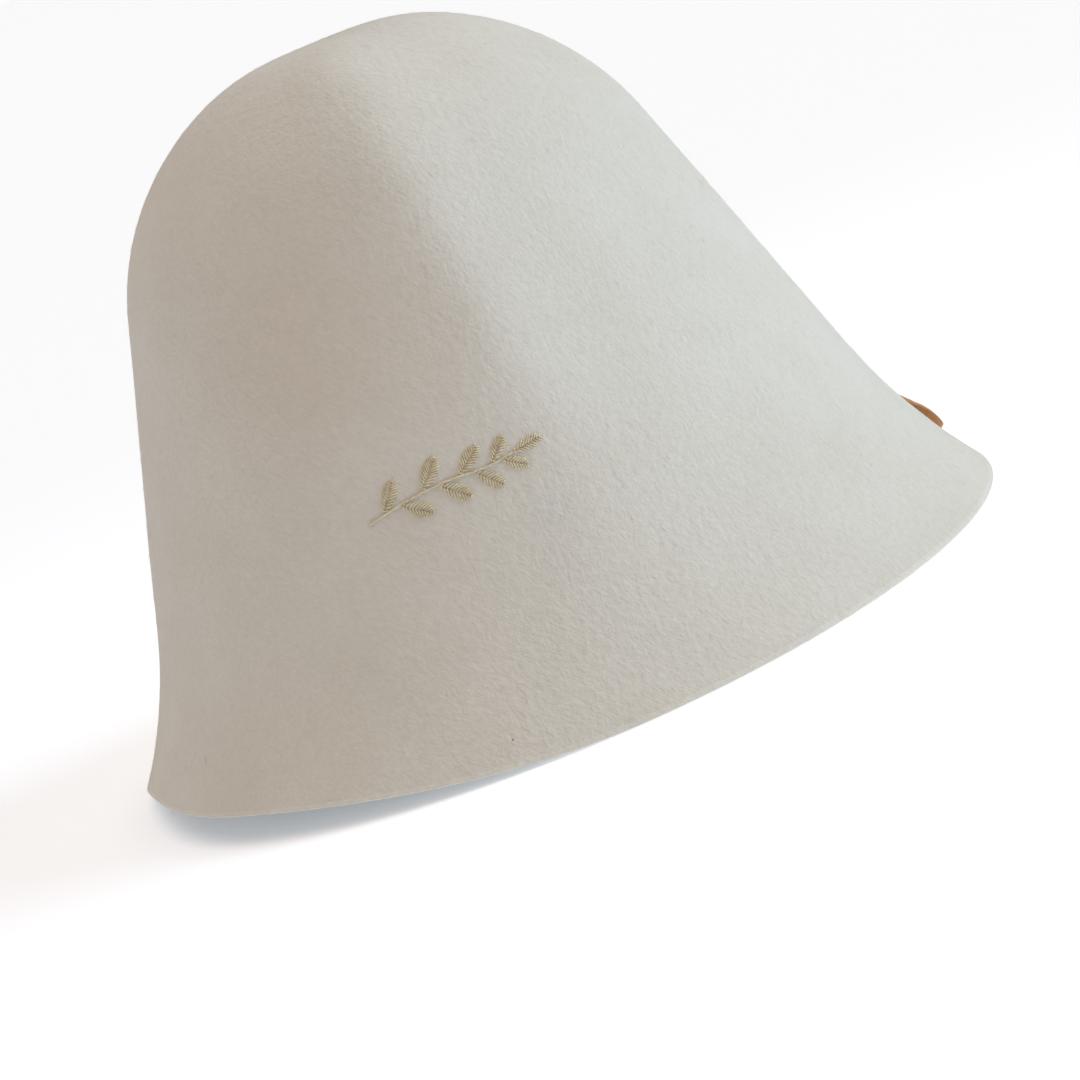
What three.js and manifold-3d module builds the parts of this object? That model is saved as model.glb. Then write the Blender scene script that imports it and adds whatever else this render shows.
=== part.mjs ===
// A bell-shaped sauna hat: one blocked felt body and a leather hanging loop.
// Millimetres, +Z up. The origin is the middle of the rim, on the surface that the hat stands on.
// Azimuth 0 is the front, at -Y, and azimuth grows towards +X.
import * as THREE from 'three';
import { mergeVertices } from 'three/addons/utils/BufferGeometryUtils.js';
import Module from 'manifold-3d';

const wasm = await Module();
wasm.setup();

const { degToRad, lerp, smoothstep } = THREE.MathUtils;

// Driving sizes of the felt body
const RIM_RADIUS = 135.4;
const HEIGHT = 186.5;
const FELT_THICKNESS = 3;
const CROWN_RADIUS = 124;
const CROWN_HALF_ANGLE = degToRad(9.3);
const WALL_LEAN = degToRad(18.9);
const FLARE_RADIUS = 172;
const RIM_LEAN = degToRad(37.6);
const RIM_ROUNDING = 1.2;

// The soft fold down the front: where its crest runs, how far the crest stands out, how far it reaches to
// either side and how broad it is, how far the felt beside it sinks in and over what spread, and where the
// fold begins and ends, as distances down the face from the crown's top.
const FOLD_AZIMUTH = { crown: degToRad(1), rim: degToRad(15) };
const FOLD_HEIGHT = 9;
const FOLD_REACH = 21;
const FOLD_CREST_WIDTH = 10.5;
const FOLD_SINK = 3.6;
const FOLD_SINK_SPREAD = degToRad(80);
const FOLD_START = { none: 3, full: 52 };
const FOLD_END = { full: 90, none: 240 };

// The crown's lean towards -X
const CROWN_LEAN = 1.2;

// Waves of the brim, which fade out up the wall: where each is, how far it spreads to either side,
// and how far the rim is lifted off the surface and pushed outwards there.
const BRIM_WAVE_REACH = 80;
const BRIM_WAVES = [
  { azimuth: degToRad(-52.6), spread: degToRad(57.5), lift: 8.3, out: 0 },
  { azimuth: degToRad(-79.5), spread: degToRad(30.3), lift: 2.6, out: -5.2 },
];

// The leather loop
const LOOP_AZIMUTH = degToRad(107);
const SLIT_HEIGHT = 29;
const LACE_WIDTH = 4.6;
const LACE_THICKNESS = 1;
const LACE_STEPS = 72;
const SLIT_CLEARANCE = 0.4;
const SLIT_LENGTH = 16;

// One leg of the loop, from the tail inside the hat to the bottom of the loop: the distance down the felt
// from the slit, the distance to the side, the distance off the felt's outer face, and the lace's turn.
const LEG = [
  { down: -17, side: 2.7, off: -4.1, turn: 0 },
  { down: -11.5, side: 2.7, off: -4.1, turn: 0 },
  { down: -6.6, side: 2.7, off: -4.15, turn: 0 },
  { down: -2.2, side: 2.7, off: -2.42, turn: 0 },
  { down: 2.2, side: 2.7, off: -0.58, turn: 0 },
  { down: 6.6, side: 2.7, off: 1.4, turn: 0 },
  { down: 10.5, side: 2.7, off: 2.9, turn: 0 },
  { down: 14.5, side: 2.8, off: 3.95, turn: 0 },
  { down: 18.1, side: 3.2, off: 4.2, turn: 10 },
  { down: 21.3, side: 4, off: 4, turn: 38 },
  { down: 24.4, side: 4.6, off: 3.55, turn: 68 },
  { down: 27.2, side: 4.6, off: 3.15, turn: 86 },
  { down: 29.8, side: 3.2, off: 2.82, turn: 90 },
  { down: 31, side: 0, off: 2.75, turn: 90 },
];

// Facets
const STEPS_AROUND = 72;
const OUTER_STEPS = { crown: 3, shoulder: 11, wall: 8, flare: 9 };
const INNER_STEPS = { crown: 2, shoulder: 8, wall: 6, flare: 7 };
const ROUNDING_STEPS = 3;
const MERGE_DISTANCE = 1e-3;

const feltMaterial = new THREE.MeshStandardMaterial({ color: 0xdcd7cc, roughness: 0.95, metalness: 0 });
const leatherMaterial = new THREE.MeshStandardMaterial({ color: 0xa96f42, roughness: 0.6, metalness: 0 });

// The meridian is two tangent arcs for crown and shoulder, a straight wall, and an arc that flares to
// the rim. The shoulder's radius is the one that lets the wall touch both arcs at the given height.
function shoulderRadius() {
  const lift = HEIGHT - CROWN_RADIUS + CROWN_RADIUS * Math.cos(CROWN_HALF_ANGLE);
  const reach = CROWN_RADIUS * Math.sin(CROWN_HALF_ANGLE);
  const flareX = RIM_RADIUS + FLARE_RADIUS * Math.cos(RIM_LEAN);
  const flareZ = FLARE_RADIUS * Math.sin(RIM_LEAN);
  const gap = (flareX - reach) * Math.cos(WALL_LEAN) + (flareZ - lift) * Math.sin(WALL_LEAN) - FLARE_RADIUS;
  return gap / (1 - Math.sin(CROWN_HALF_ANGLE + WALL_LEAN));
}

function arc(centre, radius, from, to) {
  return new THREE.EllipseCurve(centre.x, centre.y, radius, radius, from, to, to < from);
}

// A face of the felt, a given depth under its outer face: curves from the top of the crown to the rim,
// in the plane of radius and height.
function meridian(depth) {
  const shoulder = shoulderRadius();
  const crownCentre = new THREE.Vector2(0, HEIGHT - CROWN_RADIUS);
  const towardsShoulder = new THREE.Vector2(Math.sin(CROWN_HALF_ANGLE), Math.cos(CROWN_HALF_ANGLE));
  const shoulderCentre = crownCentre.clone().addScaledVector(towardsShoulder, CROWN_RADIUS - shoulder);
  const rim = new THREE.Vector2(RIM_RADIUS, 0);
  const rimNormal = new THREE.Vector2(Math.cos(RIM_LEAN), Math.sin(RIM_LEAN));
  const flareCentre = rim.clone().addScaledVector(rimNormal, FLARE_RADIUS);
  const flareRadius = FLARE_RADIUS + depth;
  const endLean = Math.asin(flareCentre.y / flareRadius);
  const top = Math.PI / 2;
  const crown = arc(crownCentre, CROWN_RADIUS - depth, top, top - CROWN_HALF_ANGLE);
  const bend = arc(shoulderCentre, shoulder - depth, top - CROWN_HALF_ANGLE, WALL_LEAN);
  const flare = arc(flareCentre, flareRadius, Math.PI + WALL_LEAN, Math.PI + endLean);
  const wall = new THREE.LineCurve(bend.getPoint(1), flare.getPoint(0));
  return { crown, shoulder: bend, wall, flare };
}

// Points along a face with their outward normal and their distance from the top of the crown.
function stations(face, steps) {
  const rows = [];
  let travelled = 0;
  for (const [name, curve] of Object.entries(face)) {
    const length = curve.getLength();
    const first = rows.length === 0 ? 0 : 1;
    for (let i = first; i <= steps[name]; i++) {
      const share = i / steps[name];
      const along = curve.getTangent(share);
      const normal = new THREE.Vector2(-along.y, along.x);
      rows.push({ point: curve.getPoint(share), normal, distance: travelled + share * length });
    }
    travelled += length;
  }
  return rows;
}

// The raw-cut rim: a flat ring on the surface, with both of its corners rounded.
function rimStations(outerEnd, innerEnd) {
  const flat = new THREE.Vector2(-1, 0);
  const upOuter = new THREE.Vector2(-outerEnd.normal.y, outerEnd.normal.x);
  const upInner = new THREE.Vector2(-innerEnd.normal.y, innerEnd.normal.x);
  const outerCorner = new THREE.QuadraticBezierCurve(
    outerEnd.point.clone().addScaledVector(upOuter, RIM_ROUNDING),
    outerEnd.point,
    outerEnd.point.clone().addScaledVector(flat, RIM_ROUNDING),
  );
  const innerCorner = new THREE.QuadraticBezierCurve(
    innerEnd.point.clone().addScaledVector(flat, -RIM_ROUNDING / 2),
    innerEnd.point,
    innerEnd.point.clone().addScaledVector(upInner, RIM_ROUNDING / 2),
  );
  const points = [...outerCorner.getPoints(ROUNDING_STEPS), ...innerCorner.getPoints(ROUNDING_STEPS)];
  return points.map((point) => ({ point, normal: outerEnd.normal, distance: outerEnd.distance }));
}

function wrapAngle(angle) {
  return Math.atan2(Math.sin(angle), Math.cos(angle));
}

// A smooth hump: 1 in the middle, falling to 0 at a given spread to either side.
function hump(angle, spread) {
  return Math.cos(Math.min(1, Math.abs(wrapAngle(angle)) / spread) * (Math.PI / 2)) ** 2;
}

// How far the fold moves a point of the felt off the round body.
function foldHeight(station, azimuth, length) {
  const crest = lerp(FOLD_AZIMUTH.crown, FOLD_AZIMUTH.rim, station.distance / length);
  const aside = wrapAngle(azimuth - crest) * station.point.x;
  const fromCrest = Math.hypot(aside, FOLD_CREST_WIDTH) - FOLD_CREST_WIDTH;
  const raised = FOLD_HEIGHT * Math.exp(-fromCrest / FOLD_REACH);
  const sunk = FOLD_SINK * hump(azimuth - crest, FOLD_SINK_SPREAD);
  const begins = smoothstep(station.distance, FOLD_START.none, FOLD_START.full);
  const ends = 1 - smoothstep(station.distance, FOLD_END.full, FOLD_END.none);
  return (raised - sunk) * begins * ends;
}

// How far the brim's waves move a point of the felt outwards and up.
function brimWave(height, azimuth) {
  const fade = Math.max(0, 1 - height / BRIM_WAVE_REACH) ** 2;
  const moved = { out: 0, lift: 0 };
  for (const wave of BRIM_WAVES) {
    const share = fade * hump(azimuth - wave.azimuth, wave.spread);
    moved.out += wave.out * share;
    moved.lift += wave.lift * share;
  }
  return moved;
}

// The round body with its fold, its brim's waves and its leaning crown.
function feltBell() {
  const outer = stations(meridian(0), OUTER_STEPS);
  const inner = stations(meridian(FELT_THICKNESS), INNER_STEPS);
  const length = outer.at(-1).distance;
  const rim = rimStations(outer.pop(), inner.pop());
  const profile = [...inner, ...rim.reverse(), ...outer.reverse()];
  const geometry = new THREE.LatheGeometry(profile.map((station) => station.point), STEPS_AROUND);
  const position = geometry.getAttribute('position');
  for (let i = 0; i < position.count; i++) {
    const station = profile[i % profile.length];
    const azimuth = (Math.floor(i / profile.length) / STEPS_AROUND) * 2 * Math.PI;
    const fold = foldHeight(station, azimuth, length);
    const wave = brimWave(station.point.y, azimuth);
    const onAxis = station.point.x === 0;
    const radius = onAxis ? 0 : station.point.x + fold * station.normal.x + wave.out;
    const height = station.point.y + fold * station.normal.y + wave.lift;
    const lean = CROWN_LEAN * (height / HEIGHT) ** 2;
    position.setXYZ(i, radius * Math.sin(azimuth) - lean, -radius * Math.cos(azimuth), height);
  }
  return geometry;
}

// A point of the felt's outer face beside the loop, a distance down the face from the slit.
function outerFace(down) {
  const slitLean = Math.asin(Math.sin(RIM_LEAN) - SLIT_HEIGHT / FLARE_RADIUS);
  const wantedLean = slitLean + down / FLARE_RADIUS;
  const lean = Math.max(wantedLean, WALL_LEAN);
  const upTheWall = (lean - wantedLean) * FLARE_RADIUS;
  const point = meridian(0).flare.getPoint((lean - WALL_LEAN) / (RIM_LEAN - WALL_LEAN));
  point.x -= upTheWall * Math.sin(lean);
  point.y += upTheWall * Math.cos(lean);
  return { point, normal: new THREE.Vector2(Math.cos(lean), Math.sin(lean)) };
}

// A point beside the felt, given from the slit: down the outer face, to the side and off the face.
function besideFelt(down, side, off) {
  const { point, normal } = outerFace(down);
  const radius = point.x + off * normal.x;
  return new THREE.Vector3(
    radius * Math.sin(LOOP_AZIMUTH) + side * Math.cos(LOOP_AZIMUTH),
    -radius * Math.cos(LOOP_AZIMUTH) + side * Math.sin(LOOP_AZIMUTH),
    point.y + off * normal.y,
  );
}

// A flat strip carried along both legs of the loop and turned on its edge round the bottom.
function hangLoop() {
  const mirrored = LEG.slice(0, -1).reverse();
  const rows = [...LEG, ...mirrored.map((row) => ({ ...row, side: -row.side }))];
  const path = new THREE.CatmullRomCurve3(rows.map((row) => besideFelt(row.down, row.side, row.off)));
  const turns = new THREE.CatmullRomCurve3(rows.map((row) => new THREE.Vector3(degToRad(row.turn), 0, 0)));
  const halfWay = LEG.at(-1).down / 2;
  const outward = besideFelt(halfWay, 0, 1).sub(besideFelt(halfWay, 0, 0));
  const geometry = new THREE.BoxGeometry(LACE_WIDTH, LACE_THICKNESS, 1, 2, 1, LACE_STEPS);
  const position = geometry.getAttribute('position');
  for (let i = 0; i < position.count; i++) {
    const share = position.getZ(i) + 0.5;
    const along = path.getTangent(share);
    const turn = turns.getPoint(share).x;
    const level = new THREE.Vector3().crossVectors(along, outward).normalize();
    const upright = new THREE.Vector3().crossVectors(level, along).normalize();
    const across = level.clone().multiplyScalar(Math.cos(turn)).addScaledVector(upright, -Math.sin(turn));
    const face = new THREE.Vector3().crossVectors(along, across);
    const point = path.getPoint(share);
    point.addScaledVector(across, position.getX(i));
    point.addScaledVector(face, position.getY(i));
    position.setXYZ(i, point.x, point.y, point.z);
  }
  return geometry;
}

// The slit runs slantwise through the felt along the lace.
function slitTool() {
  const lastInside = LEG.findLast((row) => row.down < 0);
  const firstOutside = LEG.find((row) => row.down > 0);
  const inside = besideFelt(lastInside.down, 0, lastInside.off);
  const outside = besideFelt(firstOutside.down, 0, firstOutside.off);
  const along = outside.clone().sub(inside).normalize();
  const aside = besideFelt(0, 1, 0).sub(besideFelt(0, 0, 0));
  const upright = new THREE.Vector3().crossVectors(along, aside);
  const width = 2 * (lastInside.side + LACE_WIDTH / 2 + SLIT_CLEARANCE);
  const geometry = new THREE.BoxGeometry(width, LACE_THICKNESS + 2 * SLIT_CLEARANCE, SLIT_LENGTH);
  geometry.applyMatrix4(new THREE.Matrix4().makeBasis(aside, upright, along));
  const middle = inside.lerp(outside, 0.5);
  return geometry.translate(middle.x, middle.y, middle.z);
}

function toSolid(geometry) {
  const bare = geometry.clone();
  bare.deleteAttribute('normal');
  bare.deleteAttribute('uv');
  const merged = mergeVertices(bare, MERGE_DISTANCE);
  const index = Array.from(merged.index.array);
  const kept = [];
  for (let i = 0; i < index.length; i += 3) {
    const [a, b, c] = index.slice(i, i + 3);
    if (a !== b && b !== c && c !== a) {
      kept.push(a, b, c);
    }
  }
  return new wasm.Manifold(new wasm.Mesh({
    numProp: 3,
    vertProperties: new Float32Array(merged.getAttribute('position').array),
    triVerts: new Uint32Array(kept),
  }));
}

function toGeometry(solid) {
  const { vertProperties, triVerts } = solid.getMesh();
  const geometry = new THREE.BufferGeometry();
  geometry.setAttribute('position', new THREE.BufferAttribute(new Float32Array(vertProperties), 3));
  geometry.setIndex(new THREE.BufferAttribute(new Uint32Array(triVerts), 1));
  geometry.computeVertexNormals();
  return geometry;
}

function named(name, geometry, material) {
  const mesh = new THREE.Mesh(geometry, material);
  mesh.name = name;
  return mesh;
}

const slitBell = toSolid(feltBell()).subtract(toSolid(slitTool()));

const saunaHat = new THREE.Group();
saunaHat.add(named('felt_bell', toGeometry(slitBell), feltMaterial));
saunaHat.add(named('hang_loop', hangLoop(), leatherMaterial));

export default saunaHat;
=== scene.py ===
# %% [markdown]
# # A felt sauna hat
# The hat is one piece of wool felt, steamed and pulled over a wooden block until it is a bell with a flared
# brim. A thin leather lace is threaded through a slit low on its side, as a loop to hang it by, and a small
# sprig is embroidered on the front. The imported model gives the frame that all of this has to fit, so it is
# loaded first.

# %% Load the frame
import math
import random
from collections import namedtuple
import bpy
from mathutils import Matrix, Vector
from mathutils.bvhtree import BVHTree


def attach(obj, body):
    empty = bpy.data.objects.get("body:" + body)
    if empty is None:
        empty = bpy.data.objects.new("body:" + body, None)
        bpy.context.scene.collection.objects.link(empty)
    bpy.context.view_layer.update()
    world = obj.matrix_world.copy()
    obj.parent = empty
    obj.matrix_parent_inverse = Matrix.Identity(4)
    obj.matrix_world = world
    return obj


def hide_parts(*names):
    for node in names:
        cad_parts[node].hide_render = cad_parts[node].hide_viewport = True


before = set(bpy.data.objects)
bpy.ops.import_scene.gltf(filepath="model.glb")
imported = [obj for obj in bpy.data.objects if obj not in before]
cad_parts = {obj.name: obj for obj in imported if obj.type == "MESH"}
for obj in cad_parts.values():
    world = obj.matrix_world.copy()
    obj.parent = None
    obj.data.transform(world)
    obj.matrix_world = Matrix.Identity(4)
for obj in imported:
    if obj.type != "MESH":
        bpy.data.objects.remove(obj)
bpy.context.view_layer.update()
MM = 0.001
print("frame nodes:", sorted(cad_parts))

# %% [markdown]
# ## Small helpers
# Shader trees and Geometry Nodes trees are both built from nodes and links, so one function adds a node to
# either. Colours are written as the hex values that a colour picker shows, and a renderer works with light,
# so a second function undoes the display curve. Every material starts in the same way, and so does every
# Geometry Nodes tree, so each of these has a function too. The last one makes a mesh of bare points that
# carry numbers into a tree.

# %% Nodes and colours
def add(tree, kind, inputs=(), **settings):
    """Add a node, set its properties, and set or link its inputs by place or by name."""
    node = tree.nodes.new(kind)
    for name, value in settings.items():
        setattr(node, name, value)
    for socket, value in inputs.items() if isinstance(inputs, dict) else enumerate(inputs):
        if isinstance(value, bpy.types.Node):
            value = value.outputs[0]
        if isinstance(value, bpy.types.NodeSocket):
            tree.links.new(value, node.inputs[socket])
        else:
            node.inputs[socket].default_value = value
    return node


def linear(hex_colour):
    """The linear colour of an sRGB hex value."""
    steps = [int(hex_colour[i:i + 2], 16) / 255 for i in (1, 3, 5)]
    return [c / 12.92 if c <= 0.04045 else ((c + 0.055) / 1.055) ** 2.4 for c in steps] + [1.0]


# The two kinds of node that come up most
MATH, MAP_RANGE = "ShaderNodeMath", "ShaderNodeMapRange"
# A noise texture mostly keeps between these values, and many sizes here fall from 1 to 0 in a Map Range node
NOISE_LOW, NOISE_HIGH = 0.3, 0.7
FROM_NOISE = {"From Min": NOISE_LOW, "From Max": NOISE_HIGH}
FALLING = {"To Min": 1.0, "To Max": 0.0}
# The places of a Mix node's colour sockets among its inputs, and of the mixed colour among its outputs
FACTOR, FIRST, SECOND, MIXED = 0, 6, 7, 2


# %% Materials
def start_material(name):
    """A new material. Returns it with its tree, its shader and the coordinates of the object it is on."""
    material = bpy.data.materials.new(name)
    material.use_nodes = True
    tree = material.node_tree
    return material, tree, tree.nodes["Principled BSDF"], add(tree, "ShaderNodeTexCoord").outputs["Object"]


def set_ramp(node, positions, hex_colours):
    """Set the two stops of a colour ramp."""
    for stop, position, hex_colour in zip(node.color_ramp.elements, positions, hex_colours):
        stop.position = position
        stop.color = linear(hex_colour)


# %% Geometry Nodes as a workshop
def start_tree(name, sizes):
    """A Geometry Nodes tree with a named input for each size. Returns the tree and its two end nodes."""
    kinds = {int: "NodeSocketInt", float: "NodeSocketFloat", bpy.types.Material: "NodeSocketMaterial"}
    tree = bpy.data.node_groups.new(name, "GeometryNodeTree")
    tree.interface.new_socket("Geometry", in_out="INPUT", socket_type="NodeSocketGeometry")
    tree.interface.new_socket("Geometry", in_out="OUTPUT", socket_type="NodeSocketGeometry")
    for size, value in sizes.items():
        tree.interface.new_socket(size, in_out="INPUT", socket_type=kinds[type(value)])
    return tree, tree.nodes.new("NodeGroupInput").outputs, tree.nodes.new("NodeGroupOutput")


def make_piece(name, mesh, tree, sizes):
    """Run a tree on a mesh and keep what it makes as a plain mesh object at the origin."""
    piece = bpy.data.objects.new(name, mesh)
    bpy.context.collection.objects.link(piece)
    modifier = piece.modifiers.new(tree.name, "NODES")
    modifier.node_group = tree
    for item in tree.interface.items_tree:
        if item.in_out == "INPUT" and item.name in sizes:
            modifier[item.identifier] = sizes[item.name]
    evaluated = piece.evaluated_get(bpy.context.evaluated_depsgraph_get())
    piece.data = bpy.data.meshes.new_from_object(evaluated)
    piece.modifiers.remove(modifier)
    piece.data.name = name
    return piece


def point_mesh(name, points, edges=(), **attributes):
    """A mesh of points, each with the given numbers or vectors as named attributes."""
    mesh = bpy.data.meshes.new(name)
    mesh.from_pydata(points, edges, [])
    for attribute, values in attributes.items():
        vectors = hasattr(values[0], "__len__")
        layer = mesh.attributes.new(attribute, "FLOAT_VECTOR" if vectors else "FLOAT", "POINT")
        flat = [c for value in values for c in value] if vectors else values
        layer.data.foreach_set("vector" if vectors else "value", flat)
    return mesh


# %% [markdown]
# ## Wool felt
# Felt is wool that was worked with hot water until the fibres locked. The eye sees a dry, matt cream with no
# gloss at all, a soft light edge where stray fibres catch the light, and short marks of fibre bundles that
# run down the face the way the felt was pulled over its block. The bundles are about 0.9 mm wide and 3 mm
# long, and thinner strays cross them at a slant. Single fibres are 0.03 mm thick, too fine to show, so the
# strays are drawn 0.6 mm wide and the finest grain at 0.4 mm. A texture photograph would carry someone
# else's light, so noise of these sizes makes both the colour and the bumps.

# %% Felt patterns
FIBRE_WIDTH, FIBRE_LENGTH = 0.9 * MM, 3.2 * MM
STRAY_WIDTH, STRAY_SLANT, STRAY_STRETCH = 0.6 * MM, (0.6, 0.75, 0.3), 0.22
LUMP, CLOUD, GRAIN = 2.4 * MM, 28 * MM, 0.4 * MM

felt, tree, shader, place = start_material("wool felt, blocked and dried")
drawn = add(tree, "ShaderNodeMapping", {"Vector": place, "Scale": (1, 1, FIBRE_WIDTH / FIBRE_LENGTH)})
crossed = add(tree, "ShaderNodeMapping", {"Vector": place, "Rotation": STRAY_SLANT})
crossed = add(tree, "ShaderNodeMapping", {"Vector": crossed, "Scale": (1, 1, STRAY_STRETCH)})
# Each pattern: the coordinates it follows, the size of its marks, its detail and its distortion
patterns = ((place, CLOUD, 3.0, 0.0), (place, LUMP, 2.0, 0.0), (place, GRAIN, 1.0, 0.0),
            (drawn, FIBRE_WIDTH, 3.0, 0.3), (crossed, STRAY_WIDTH, 2.0, 0.2))
cloud, lump, grain, fibre, stray = (
    add(tree, "ShaderNodeTexNoise",
        {"Vector": along, "Scale": 1 / size, "Detail": detail, "Distortion": twist})
    for along, size, detail, twist in patterns)
print("felt: patterns of", [round(size / MM, 1) for _, size, _, _ in patterns], "mm")

# %% Felt colour
# The bell carries a number that tells its faces apart, and the cut edge is painted a little paler than the
# faces, a painted highlight where its lip catches the light
OUTER_FACE, CUT_EDGE, INNER_FACE, SKIN_NEAR = 1.0, 0.5, 0.0, 0.3
# The least and the most that strays and lumps leave of the felt's light, and how much paler the painted
# highlight makes the cut edge
STRAY_SHADE, LUMP_SHADE = {"To Min": 0.955, "To Max": 1.03}, {"To Min": 0.986, "To Max": 1.01}
PAINTED_EDGE_HIGHLIGHT = 1.06
tone = add(tree, "ShaderNodeValToRGB", {"Fac": cloud})
set_ramp(tone, (NOISE_LOW, NOISE_HIGH), ("#DED9CF", "#E2DED5"))
streak = add(tree, MAP_RANGE, {"Value": stray, **FROM_NOISE, **STRAY_SHADE})
speck = add(tree, MAP_RANGE, {"Value": lump, **FROM_NOISE, **LUMP_SHADE})
skin_here = add(tree, "ShaderNodeAttribute", attribute_name="skin").outputs["Fac"]
# Painted highlight: the rim's cut edge, lip and underside, is painted paler where it would otherwise fall
# into its own shade
painted_edge_light = add(tree, MATH, [skin_here, CUT_EDGE, SKIN_NEAR], operation="COMPARE")
painted_edge_light = add(tree, MAP_RANGE, {"Value": painted_edge_light, "To Min": 1.0, "To Max": PAINTED_EDGE_HIGHLIGHT})
shade = add(tree, MATH, [streak, speck], operation="MULTIPLY")
shade = add(tree, MATH, [shade, painted_edge_light], operation="MULTIPLY")
felt_colour = add(tree, "ShaderNodeVectorMath", {0: tone, "Scale": shade}, operation="SCALE").outputs[0]
tree.links.new(felt_colour, shader.inputs["Base Color"])
print("felt: colour")

# %% Felt surface
# Each pattern's depth in mm, and every bump is laid over the one before it
relief = {}
for pattern, depth in ((lump, 0.40), (fibre, 0.18), (stray, 0.12), (grain, 0.05)):
    bumps = add(tree, "ShaderNodeBump",
                {"Height": pattern, "Strength": 1.0, "Distance": depth * MM, **relief})
    relief = {"Normal": bumps}
tree.links.new(bumps.outputs[0], shader.inputs["Normal"])
shader.inputs["Roughness"].default_value = 0.95
shader.inputs["Specular IOR Level"].default_value = 0.2
shader.inputs["Sheen Weight"].default_value = 0.12
shader.inputs["Sheen Roughness"].default_value = 0.5
print("material:", felt.name)

# %% [markdown]
# ## The felt bell
# Seen in section the bell is two arcs for crown and shoulder, a straight wall and an arc that flares out to
# the rim. It could be modelled by hand and sculpted, but its shape follows a rule, so Geometry Nodes turns
# the section about the axis and then moves every point by that rule: a soft fold down the front, a brim that
# is lifted on the left and drawn in a little at its side, and a crown that leans. Python only draws the
# section, once for the outer face and once for the inner face, which lies one felt thickness under it.

# %% The arcs of the section
RIM_RADIUS, HEIGHT, FELT_THICKNESS = 135.4 * MM, 186.5 * MM, 3 * MM
CROWN_RADIUS, CROWN_HALF_ANGLE = 124 * MM, math.radians(9.3)
FLARE_RADIUS, WALL_LEAN, RIM_LEAN = 172 * MM, math.radians(18.9), math.radians(37.6)
TOP = math.pi / 2

crown_centre = (0, HEIGHT - CROWN_RADIUS)
flare_centre = (RIM_RADIUS + FLARE_RADIUS * math.cos(RIM_LEAN), FLARE_RADIUS * math.sin(RIM_LEAN))
edge_radius = CROWN_RADIUS * math.sin(CROWN_HALF_ANGLE)
edge_height = HEIGHT - CROWN_RADIUS + CROWN_RADIUS * math.cos(CROWN_HALF_ANGLE)
# The shoulder's radius is the one that lets it touch both the crown and the wall
room = ((flare_centre[0] - edge_radius) * math.cos(WALL_LEAN)
        + (flare_centre[1] - edge_height) * math.sin(WALL_LEAN) - FLARE_RADIUS)
shoulder_radius = room / (1 - math.sin(CROWN_HALF_ANGLE + WALL_LEAN))
shoulder_centre = (math.sin(CROWN_HALF_ANGLE) * (CROWN_RADIUS - shoulder_radius),
                   crown_centre[1] + math.cos(CROWN_HALF_ANGLE) * (CROWN_RADIUS - shoulder_radius))
print(f"section: shoulder {shoulder_radius / MM:.1f} mm")

# %% Stations down a face
Station = namedtuple("Station", "radius height lean distance")


def face_stations(depth, spacing):
    """Stations from crown to rim at a depth under the outer face, with their distance down the face."""
    end_lean = math.asin(flare_centre[1] / (FLARE_RADIUS + depth))
    arcs = [(crown_centre, CROWN_RADIUS - depth, TOP, TOP - CROWN_HALF_ANGLE),
            (shoulder_centre, shoulder_radius - depth, TOP - CROWN_HALF_ANGLE, WALL_LEAN),
            (flare_centre, -FLARE_RADIUS - depth, WALL_LEAN, end_lean)]
    outline = []
    for (x, y), radius, first, last in arcs:
        steps = max(2, round(abs(radius * (last - first)) / spacing))
        leans = [first + (last - first) * i / steps for i in range(steps + 1)]
        outline.append([(x + radius * math.cos(lean), y + radius * math.sin(lean), lean) for lean in leans])
    crown, shoulder, flare = outline
    (r0, z0, _), (r1, z1, _) = shoulder[-1], flare[0]
    steps = round(math.dist((r0, z0), (r1, z1)) / spacing)
    wall = [(r0 + (r1 - r0) * i / steps, z0 + (z1 - z0) * i / steps, WALL_LEAN) for i in range(1, steps)]
    stations, distance = [], 0.0
    for r, z, lean in crown + shoulder[1:] + wall + flare:
        distance += math.dist(stations[-1][:2], (r, z)) if stations else 0.0
        stations.append(Station(max(r, 0.0), z, lean, distance))
    return stations


def corner(start, tip, end, steps):
    """A rounded corner: a quadratic curve that is drawn towards its tip."""
    shares = [i / steps for i in range(steps + 1)]
    return [tuple((1 - t) ** 2 * a + 2 * t * (1 - t) * b + t * t * c for a, b, c in zip(start, tip, end))
            for t in shares]


# %% The section with its rounded rim
OUTER_SPACING, INNER_SPACING, RIM_SPACING = 1.22 * MM, 4.0 * MM, 0.3 * MM
OUTER_ROUNDING, INNER_ROUNDING = 1.2 * MM, 0.6 * MM

outer = face_stations(0.0, OUTER_SPACING)
inner = face_stations(FELT_THICKNESS, INNER_SPACING)
length = outer[-1].distance
out_tip, in_tip = outer.pop(), inner.pop()
out_start = (out_tip.radius - math.sin(out_tip.lean) * OUTER_ROUNDING,
             math.cos(out_tip.lean) * OUTER_ROUNDING)
in_end = (in_tip.radius - math.sin(in_tip.lean) * INNER_ROUNDING,
          math.cos(in_tip.lean) * INNER_ROUNDING)
outer = [station for station in outer if station.height > out_start[1] + RIM_SPACING]
inner = [station for station in inner if station.height > in_end[1] + RIM_SPACING]
out_corner = corner(out_start, out_tip[:2], (out_tip.radius - OUTER_ROUNDING, 0), steps=5)
in_corner = corner((in_tip.radius + INNER_ROUNDING, 0), in_tip[:2], in_end, steps=4)
rim = [Station(r, z, out_tip.lean, length) for r, z in out_corner + in_corner]
section = outer + rim + inner[::-1]
skin = [OUTER_FACE] * len(outer) + [CUT_EDGE] * len(rim) + [INNER_FACE] * len(inner)
print(f"section: {len(section)} stations, {length / MM:.1f} mm down the face")

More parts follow.
